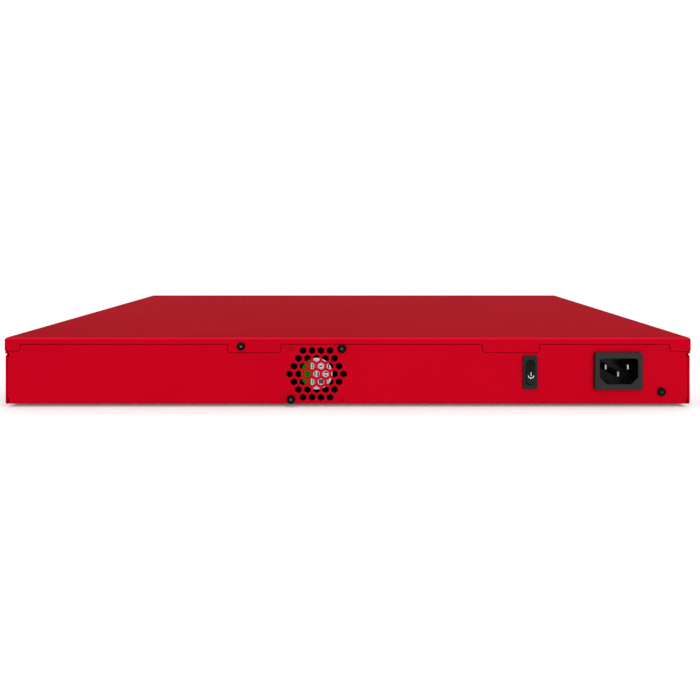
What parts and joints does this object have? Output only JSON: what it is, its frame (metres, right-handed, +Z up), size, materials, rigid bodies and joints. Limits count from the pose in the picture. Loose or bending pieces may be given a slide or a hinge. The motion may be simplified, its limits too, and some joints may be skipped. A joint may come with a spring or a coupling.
{
  "type": "firewall appliance",
  "caption": "Flat rack-height network firewall box with a lift-off sheet-metal cover, rear fan, mains inlet and rocker switch, and network sockets in front.",
  "frame": {"origin": "middle of the overall box, on the plane that the rubber feet stand on", "axes": "+X right as seen from the rear, +Y from the rear panel to the front panel, +Z up"},
  "size_m": [0.431, 0.31, 0.044],
  "materials": {
    "red_steel": "powder coat, fine texture",
    "zinc_steel": "zinc plated",
    "black_screw": "black zinc",
    "charcoal_plastic": "fine spark-eroded grain",
    "rocker_plastic": "satin",
    "foot_rubber": "matt",
    "black_plastic": "moulded",
    "label_film": "printed film",
    "contact_metal": "nickel plated",
    "board_laminate": "solder mask",
    "chip_package": "moulded resin",
    "sink_aluminium": "extruded",
    "capacitor_sleeve": "shrink sleeve",
    "ferrite": "ferrite",
    "wound_copper": "enamelled wire",
    "winding_tape": "polyester tape",
    "cell_steel": "stainless",
    "insulator_film": "polyester film",
    "clear_plastic": "moulded clear",
    "white_plastic": "moulded",
    "button_plastic": "moulded",
    "sleeve_plastic": "soft sleeve",
    "brown_wire": "insulation",
    "blue_wire": "insulation",
    "earth_wire": "striped insulation",
    "supply_wire": "insulation",
    "fan_wire": "insulation"
  },
  "bodies": {
    "root": {"base_tray": "red_steel", "battery_holder": "black_plastic", "board_chokes": "ferrite", "board_screws": "zinc_steel", "board_standoffs": "zinc_steel", "bulk_capacitor": "capacitor_sleeve", "capacitors": "capacitor_sleeve", "card_sockets": "black_plastic", "coin_cell": "cell_steel", "console_jack": "black_plastic", "drive_module": "board_laminate", "earth_wire": "earth_wire", "fan_bearings": "zinc_steel", "fan_frame": "black_plastic", "fan_label": "label_film", "fan_leads": "fan_wire", "fan_screws": "black_screw", "fan_stator": "wound_copper", "front_bezel": "charcoal_plastic", "front_panel": "red_steel", "ground_lug": "zinc_steel", "ground_screw": "black_screw", "heatsink_screws": "zinc_steel", "inlet_body": "charcoal_plastic", "inlet_pins": "contact_metal", "insulator_sheet": "insulator_film", "jack_shields": "zinc_steel", "lan_chips": "chip_package", "lan_jack_left": "black_plastic", "lan_jack_right": "black_plastic", "lan_transformers": "chip_package", "light_pipes": "clear_plastic", "line_wires": "brown_wire", "mainboard": "board_laminate", "memory_modules": "board_laminate", "neutral_wire": "blue_wire", "pipe_carrier": "black_plastic", "power_board": "board_laminate", "power_chokes": "wound_copper", "power_heatsinks": "sink_aluminium", "power_transformer": "winding_tape", "processor": "chip_package", "processor_heatsink": "sink_aluminium", "rack_ear_inserts": "zinc_steel", "rear_top_rail": "zinc_steel", "reset_switch": "black_plastic", "rubber_feet": "foot_rubber", "spade_connectors": "sleeve_plastic", "supply_leads": "supply_wire", "switch_housing": "charcoal_plastic", "switch_terminals": "contact_metal", "usb_jack": "zinc_steel", "usb_tongues": "white_plastic", "wire_headers": "white_plastic"},
    "fan_rotor": {"fan_rotor": "black_plastic", "fan_shaft": "zinc_steel"},
    "power_rocker": {"switch_rocker": "rocker_plastic"},
    "reset_button": {"reset_button": "button_plastic"},
    "cover": {"top_cover": "red_steel", "cover_screw": "black_screw"}
  },
  "joints": [
    {"name": "fan_spin", "type": "hinge", "parent": "root", "child": "fan_rotor", "pos_m": [-0.0196, -0.1405, 0.021], "axis": [0, 1, 0], "continuous": true},
    {"name": "rocker_tilt", "type": "hinge", "parent": "root", "child": "power_rocker", "pos_m": [0.1144, -0.1524, 0.0222], "axis": [1, 0, 0], "range_deg": [0, 18]},
    {"name": "reset_press", "type": "slide", "parent": "root", "child": "reset_button", "axis": [0, -1, 0], "range_m": [0, 0.0005], "stiffness_N_per_m": 400},
    {"name": "cover_slide", "type": "slide", "parent": "root", "child": "cover", "axis": [0, -1, 0], "range_m": [0, 0.315]}
  ]
}
